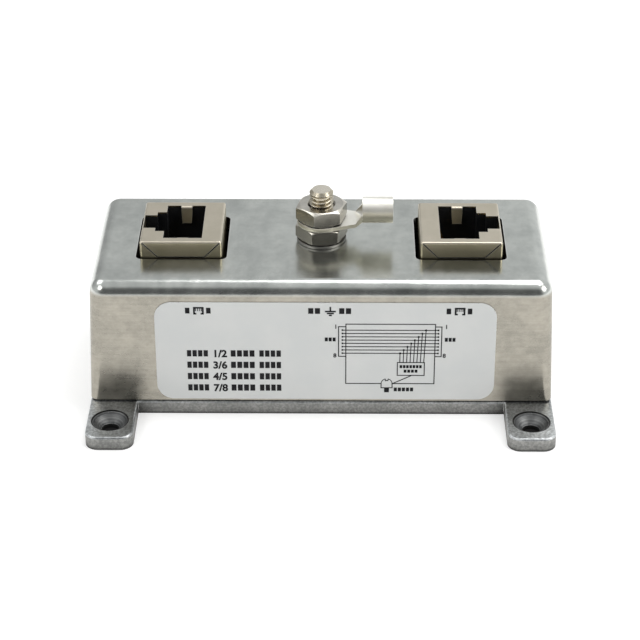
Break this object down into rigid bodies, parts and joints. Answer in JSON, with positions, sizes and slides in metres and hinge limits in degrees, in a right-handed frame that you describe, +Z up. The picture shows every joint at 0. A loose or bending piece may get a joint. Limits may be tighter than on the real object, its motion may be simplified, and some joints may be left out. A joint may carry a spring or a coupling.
{
  "type": "ethernet surge protector",
  "caption": "Cast metal network surge protector box with a shielded socket at each end of its top, a ground stud with ring terminal, and screw tabs.",
  "frame": {"origin": "centre of the underside of the base plate", "axes": "+X along the case's length, +Y away from the label, +Z up out of the sockets"},
  "size_m": [0.08, 0.0572, 0.035],
  "materials": {
    "cast_aluminium": "bare die casting, soft semi-gloss",
    "plate_aluminium": "bare die casting, satin",
    "label_film": "printed pale grey film",
    "shield_nickel": "nickel-plated folded sheet, warm",
    "jack_plastic": "moulded black plastic",
    "contact_gold": "gold-plated spring wire",
    "board_laminate": "green solder mask",
    "screw_steel": "zinc-plated steel",
    "tube_ceramic": "glazed tube with metal collars",
    "diode_plastic": "moulded pack with tinned leads",
    "resistor_chip": "chip with tinned ends",
    "strap_brass": "folded sheet",
    "stud_steel": "nickel-plated steel",
    "nut_steel": "nickel-plated steel",
    "terminal_tin": "bright tinned copper"
  },
  "bodies": {
    "root": {"case_shell": "cast_aluminium", "base_plate": "plate_aluminium", "closing_screws": "screw_steel", "front_label": "label_film", "left_jack_shield": "shield_nickel", "right_jack_shield": "shield_nickel", "left_jack_housing": "jack_plastic", "right_jack_housing": "jack_plastic", "left_jack_contacts": "contact_gold", "right_jack_contacts": "contact_gold", "circuit_board": "board_laminate", "board_screws": "screw_steel", "gas_tube_pair_1_2": "tube_ceramic", "gas_tube_pair_3_6": "tube_ceramic", "gas_tube_pair_4_5": "tube_ceramic", "gas_tube_pair_7_8": "tube_ceramic", "clamp_diode_pair_1_2": "diode_plastic", "clamp_diode_pair_3_6": "diode_plastic", "clamp_diode_pair_4_5": "diode_plastic", "clamp_diode_pair_7_8": "diode_plastic", "line_resistors": "resistor_chip", "ground_strap": "strap_brass", "strap_screw": "screw_steel", "strap_nut": "screw_steel", "ground_stud": "stud_steel", "toothed_washer": "nut_steel", "lower_nut": "nut_steel", "ring_terminal": "terminal_tin", "upper_nut": "nut_steel"}
  },
  "joints": []
}
